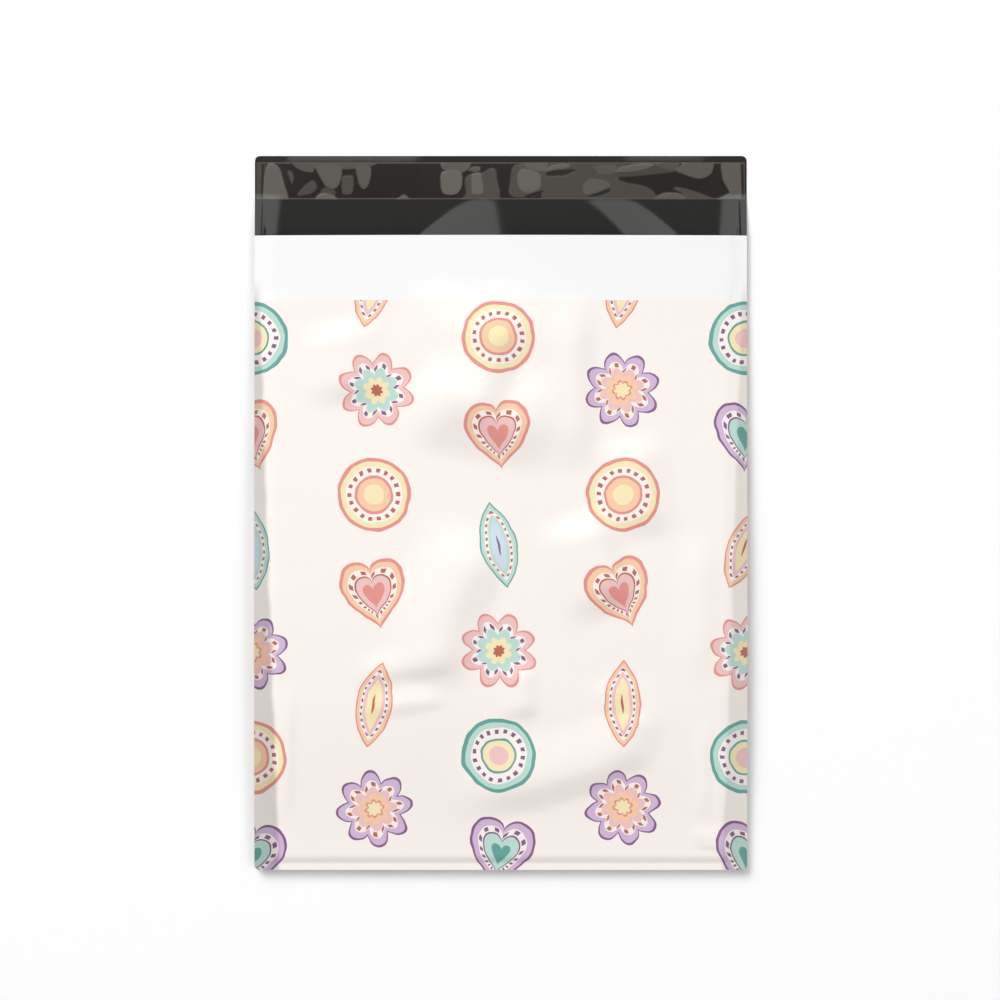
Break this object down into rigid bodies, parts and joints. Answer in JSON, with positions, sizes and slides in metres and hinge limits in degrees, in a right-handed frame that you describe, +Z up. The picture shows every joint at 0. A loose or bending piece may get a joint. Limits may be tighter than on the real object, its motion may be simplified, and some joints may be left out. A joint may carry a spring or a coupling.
{
  "type": "poly mailer bag",
  "caption": "Flat shipping bag of printed film, folded at the bottom and welded down the sides, lying puffed with its mouth ajar and its glue flap open under a clear release liner.",
  "frame": {"origin": "middle of the bag's outline, on the surface that its back panel lies on", "axes": "+X across the bag, +Y from the bottom fold to the flap, +Z up out of the front panel"},
  "size_m": [0.254, 0.3682, 0.0154],
  "materials": {
    "printed_film": "satin",
    "adhesive": "satin",
    "liner": "gloss"
  },
  "bodies": {
    "root": {"bag_film": "printed_film", "adhesive_strip": "adhesive", "release_liner": "liner"}
  },
  "joints": []
}
